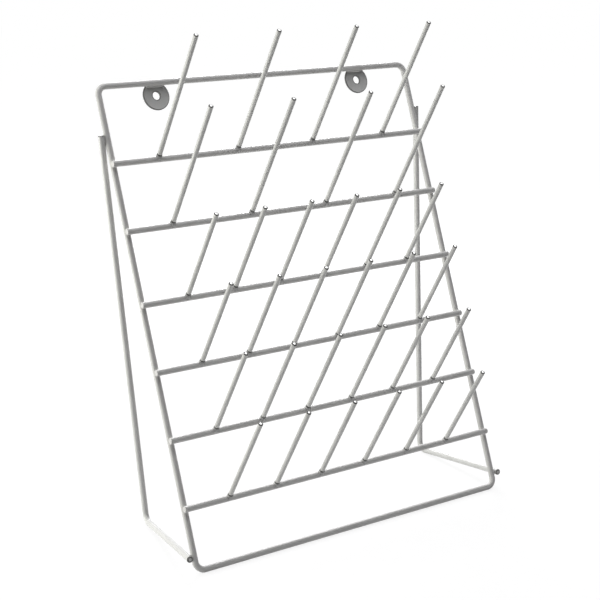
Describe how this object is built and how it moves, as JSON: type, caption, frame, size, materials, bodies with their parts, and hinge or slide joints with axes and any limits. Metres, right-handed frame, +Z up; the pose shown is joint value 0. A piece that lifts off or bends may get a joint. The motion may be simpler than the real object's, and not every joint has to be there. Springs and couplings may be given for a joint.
{
  "type": "drying pegboard rack",
  "caption": "Leaning coated wire rack with crossbars of slanting pegs that hold labware upside down to dry; stands on two bent wire legs or hangs from two washers.",
  "frame": {"origin": "middle of the rack's overall box, on the surface that it stands on", "axes": "+Z up, pegs reach out towards -Y with the frame leaning back towards +Y, +X to the right as seen from the front"},
  "size_m": [0.3995, 0.2232, 0.5058],
  "materials": {
    "rod_coat": "off-white plastic coating on steel rod, semi-gloss",
    "peg_coat": "off-white plastic coating on steel rod, slightly warm, semi-gloss",
    "washer_coat": "pale grey coating on a flat steel washer, semi-gloss"
  },
  "bodies": {
    "root": {"panel_frame": "rod_coat", "leg_left": "rod_coat", "leg_right": "rod_coat", "washer_left": "washer_coat", "washer_right": "washer_coat", "crossbar_1": "rod_coat", "crossbar_2": "rod_coat", "crossbar_3": "rod_coat", "crossbar_4": "rod_coat", "crossbar_5": "rod_coat", "crossbar_6": "rod_coat", "peg_1_1": "peg_coat", "peg_1_2": "peg_coat", "peg_1_3": "peg_coat", "peg_1_4": "peg_coat", "peg_2_1": "peg_coat", "peg_2_2": "peg_coat", "peg_2_3": "peg_coat", "peg_2_4": "peg_coat", "peg_3_1": "peg_coat", "peg_3_2": "peg_coat", "peg_3_3": "peg_coat", "peg_3_4": "peg_coat", "peg_3_5": "peg_coat", "peg_3_6": "peg_coat", "peg_4_1": "peg_coat", "peg_4_2": "peg_coat", "peg_4_3": "peg_coat", "peg_4_4": "peg_coat", "peg_4_5": "peg_coat", "peg_4_6": "peg_coat", "peg_5_1": "peg_coat", "peg_5_2": "peg_coat", "peg_5_3": "peg_coat", "peg_5_4": "peg_coat", "peg_5_5": "peg_coat", "peg_5_6": "peg_coat", "peg_6_1": "peg_coat", "peg_6_2": "peg_coat", "peg_6_3": "peg_coat", "peg_6_4": "peg_coat", "peg_6_5": "peg_coat", "peg_6_6": "peg_coat"}
  },
  "joints": []
}
